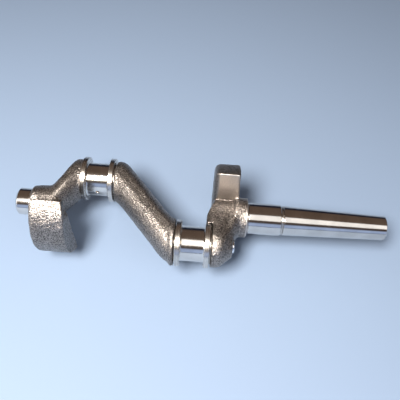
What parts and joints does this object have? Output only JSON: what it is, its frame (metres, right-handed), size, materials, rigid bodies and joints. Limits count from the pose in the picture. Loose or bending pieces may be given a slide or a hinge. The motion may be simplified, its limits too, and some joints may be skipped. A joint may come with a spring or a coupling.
{
  "type": "crankshaft",
  "caption": "Crankshaft with opposed crank pins joined by a long sloping centre web, cast counterweights, a plain end journal and a long tapered drive end.",
  "frame": {"origin": "on the spin axis, halfway along the shaft", "axes": "+X along the spin axis towards the tapered drive end, +Y from the spin axis towards crank pin 1 (the throw nearer the plain end), +Z square to the plane of the throws"},
  "size_m": [0.412, 0.1284, 0.1134],
  "materials": {
    "cast_iron": "as-cast skin, shot blasted, fine pebbled grain, oiled satin",
    "ground_steel": "ground and polished round the axis",
    "turned_steel": "fine turned, satin, broken edges",
    "plug_steel": "bright turned steel"
  },
  "bodies": {
    "root": {"end_boss": "cast_iron", "end_web": "cast_iron", "end_counterweight": "cast_iron", "centre_web": "cast_iron", "drive_web": "cast_iron", "drive_counterweight": "cast_iron", "drive_boss": "cast_iron", "end_journal": "ground_steel", "crank_pin_1": "ground_steel", "crank_pin_2": "ground_steel", "main_journal": "ground_steel", "drive_taper": "ground_steel", "pin_1_outer_collar": "turned_steel", "pin_1_inner_collar": "turned_steel", "pin_1_neck": "turned_steel", "pin_2_neck": "turned_steel", "pin_2_inner_collar": "turned_steel", "pin_2_outer_collar": "turned_steel", "drive_neck": "turned_steel", "relief_groove": "turned_steel", "oil_gallery_plug": "plug_steel"}
  },
  "joints": []
}
